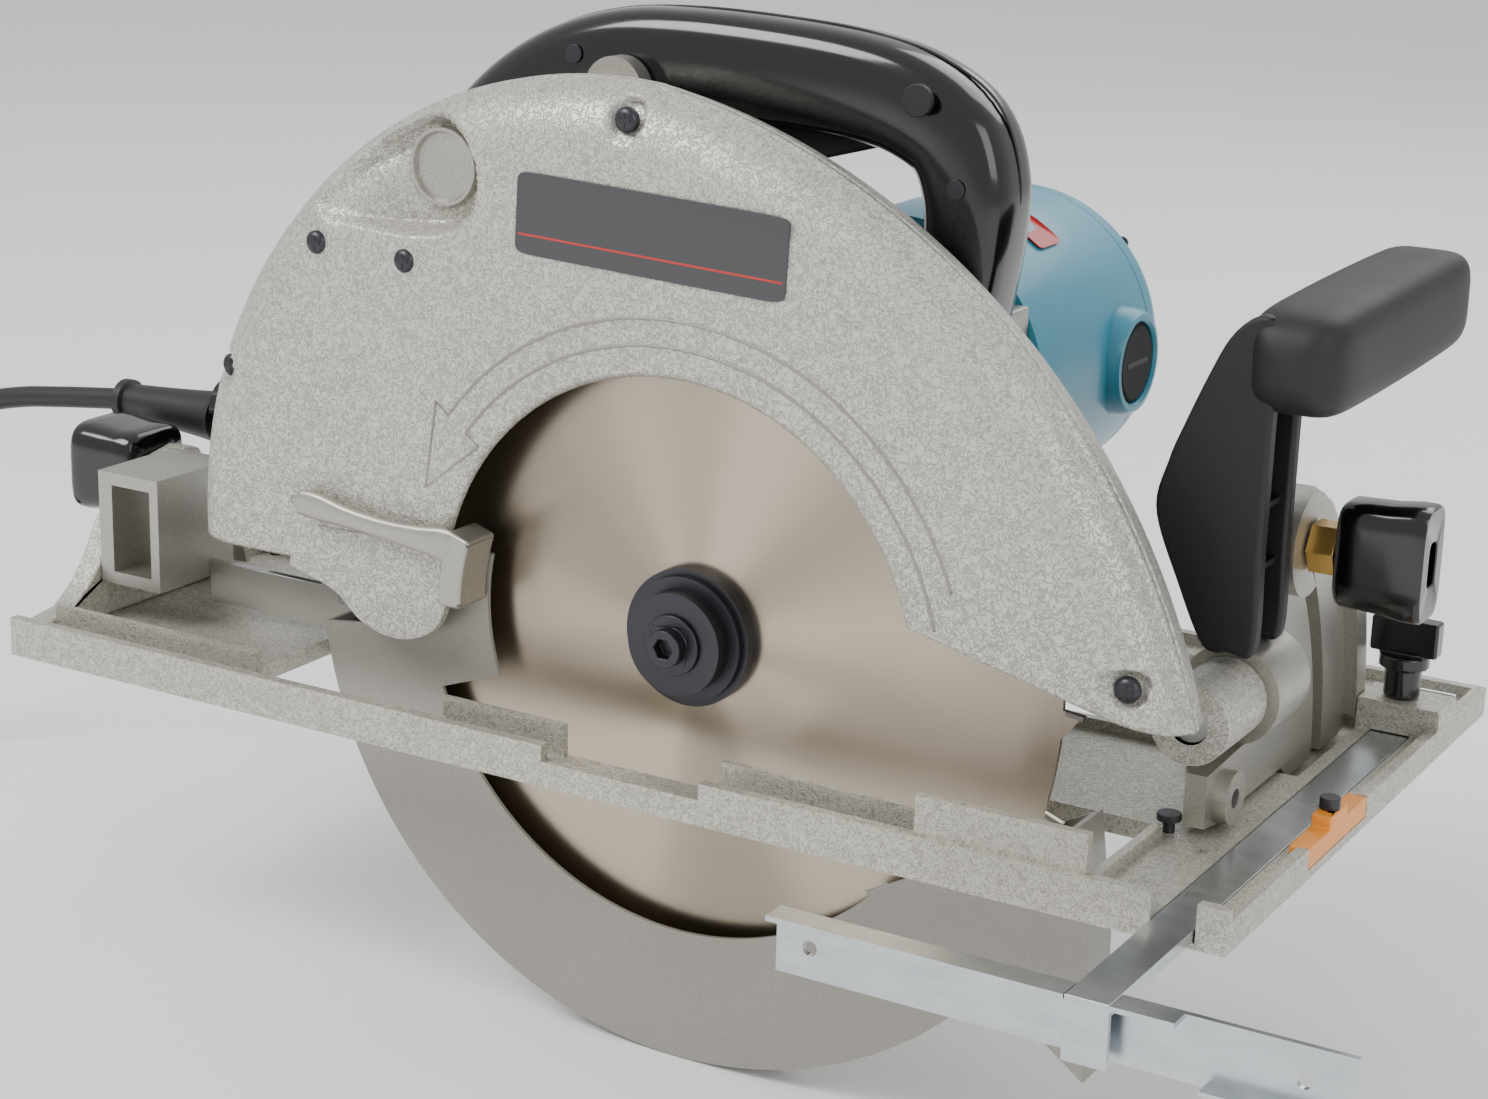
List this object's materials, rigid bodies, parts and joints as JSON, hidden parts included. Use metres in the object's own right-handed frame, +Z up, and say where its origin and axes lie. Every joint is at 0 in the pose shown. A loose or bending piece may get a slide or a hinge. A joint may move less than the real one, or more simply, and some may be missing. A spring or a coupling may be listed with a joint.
{
  "type": "circular saw",
  "caption": "Large hand-held circular saw with a cast base, tilting and depth-setting head, sprung lower guard, side motor, loop handle, front grip and rip guide.",
  "frame": {"origin": "on the sole, straight below the blade axis at rest, in the middle plane of the blade", "axes": "+X forward along the cut, +Y from the blade towards the motor, +Z up"},
  "size_m": [1.035, 0.395, 0.4422],
  "materials": {
    "cast_hammertone": "silver hammertone enamel on cast aluminium",
    "cast_zinc": "raw die casting",
    "guard_steel": "smooth grey lacquer",
    "bright_steel": "ground and machined",
    "zinc_plate": "bright zinc plate",
    "blade_steel": "radially brushed",
    "black_oxide": "black oxide",
    "teal_plastic": "moulded, semi-gloss",
    "gloss_black": "moulded, gloss",
    "matte_black": "moulded, fine texture",
    "soft_black": "satin",
    "dark_label": "satin label",
    "orange_plastic": "moulded",
    "brass": "turned",
    "copper_red": "segmented copper",
    "core_steel": "laminated",
    "carbon": "pressed carbon"
  },
  "bodies": {
    "base": {"base_plate": "cast_hammertone", "front_post": "cast_zinc", "rear_quadrant": "cast_hammertone", "clamp_studs": "black_oxide", "top_guide": "orange_plastic", "base_screws": "black_oxide"},
    "front_knob": {"front_bevel_knob": "gloss_black", "clamp_nut": "brass"},
    "rear_knob": {"rear_bevel_knob": "gloss_black"},
    "rip_guide": {"guide_rule": "zinc_plate", "guide_arm": "zinc_plate"},
    "rule_screw": {"rule_clamp_screw": "gloss_black"},
    "tilt_bracket": {"front_bracket": "cast_zinc", "front_grip": "matte_black", "grip_screws": "black_oxide", "rear_bracket": "cast_zinc", "depth_guide": "bright_steel", "depth_pivot_pin": "black_oxide", "power_cord": "soft_black", "cord_coil": "soft_black", "power_plug": "soft_black"},
    "saw_head": {"case_cover": "cast_hammertone", "blade_case": "cast_hammertone", "case_screws": "black_oxide", "chute_screws": "black_oxide", "label_plate": "dark_label", "guard_spring": "black_oxide", "gear_housing": "cast_zinc", "gear_bearings": "bright_steel", "armature_bearings": "bright_steel", "motor_housing": "teal_plastic", "motor_end_cover": "teal_plastic", "motor_screws": "black_oxide", "field_stator": "core_steel", "carbon_brushes": "carbon", "brush_holders": "brass", "brush_caps": "gloss_black", "handle_near_half": "gloss_black", "handle_far_half": "gloss_black", "handle_screws": "black_oxide", "power_switch": "matte_black", "strain_relief": "soft_black"},
    "trigger": {"trigger": "matte_black"},
    "lock_off": {"lock_off_button": "matte_black"},
    "shaft_lock": {"shaft_lock_button": "matte_black"},
    "depth_clamp": {"depth_lever": "gloss_black"},
    "blade_drive": {"blade": "blade_steel", "inner_flange": "black_oxide", "outer_flange": "black_oxide", "blade_bolt": "black_oxide", "spindle": "bright_steel", "spindle_gear": "bright_steel"},
    "idler": {"intermediate_shaft": "bright_steel", "intermediate_gear": "bright_steel"},
    "armature": {"armature_shaft": "bright_steel", "armature_core": "core_steel", "commutator": "copper_red", "cooling_fan": "matte_black"},
    "guard": {"lower_guard": "guard_steel", "guard_lever": "cast_zinc"}
  },
  "joints": [
    {"name": "bevel_tilt", "type": "hinge", "parent": "base", "child": "tilt_bracket", "pos_m": [0, 0, 0], "axis": [1, 0, 0], "range_deg": [0, 45]},
    {"name": "depth_swing", "type": "hinge", "parent": "tilt_bracket", "child": "saw_head", "pos_m": [0.212, 0, 0.0555], "axis": [0, 1, 0], "range_deg": [-2.9, 22]},
    {"name": "front_knob_turn", "type": "hinge", "parent": "base", "child": "front_knob", "pos_m": [0.23, 0.11, 0.11], "axis": [1, 0, 0], "range_deg": [0, 180]},
    {"name": "rear_knob_turn", "type": "hinge", "parent": "base", "child": "rear_knob", "pos_m": [-0.35, 0.046, 0.066], "axis": [1, 0, 0], "range_deg": [0, 180]},
    {"name": "rule_slide", "type": "slide", "parent": "base", "child": "rip_guide", "axis": [0, 1, 0], "range_m": [-0.035, 0.055]},
    {"name": "rule_screw_turn", "type": "hinge", "parent": "base", "child": "rule_screw", "pos_m": [0.2415, 0.2, 0.03], "axis": [0, 0, 1], "range_deg": [0, 180]},
    {"name": "blade_spin", "type": "hinge", "parent": "saw_head", "child": "blade_drive", "pos_m": [0, 0, 0.0582], "axis": [0, 1, 0], "continuous": true},
    {"name": "idler_spin", "type": "hinge", "parent": "saw_head", "child": "idler", "pos_m": [0.01096, 0, 0.10762], "axis": [0, 1, 0], "continuous": true},
    {"name": "armature_spin", "type": "hinge", "parent": "saw_head", "child": "armature", "pos_m": [0.04491, 0, 0.1595], "axis": [0, 1, 0], "continuous": true},
    {"name": "guard_swing", "type": "hinge", "parent": "saw_head", "child": "guard", "pos_m": [0, 0, 0.0582], "axis": [0, 1, 0], "range_deg": [0, 110], "stiffness_Nm_per_rad": 1.2, "springref_deg": -85.94},
    {"name": "trigger_pull", "type": "hinge", "parent": "saw_head", "child": "trigger", "pos_m": [0.058, 0.05, 0.2662], "axis": [0, 1, 0], "range_deg": [0, 6], "stiffness_Nm_per_rad": 0.8, "springref_deg": -17.19},
    {"name": "lock_off_press", "type": "slide", "parent": "saw_head", "child": "lock_off", "axis": [0, 1, 0], "range_m": [0, 0.003], "stiffness_N_per_m": 400, "springref_m": -0.003},
    {"name": "shaft_lock_press", "type": "slide", "parent": "saw_head", "child": "shaft_lock", "axis": [1, 0, 0], "range_m": [0, 0.0035], "stiffness_N_per_m": 500, "springref_m": -0.003},
    {"name": "depth_lever_turn", "type": "hinge", "parent": "saw_head", "child": "depth_clamp", "pos_m": [-0.203, 0.05, 0.0555], "axis": [0, 1, 0], "range_deg": [0, 30]}
  ],
  "couplings": [
    {"joint": "idler_spin", "follows": "blade_spin", "ratio": -1.5},
    {"joint": "armature_spin", "follows": "blade_spin", "ratio": 6.25}
  ]
}
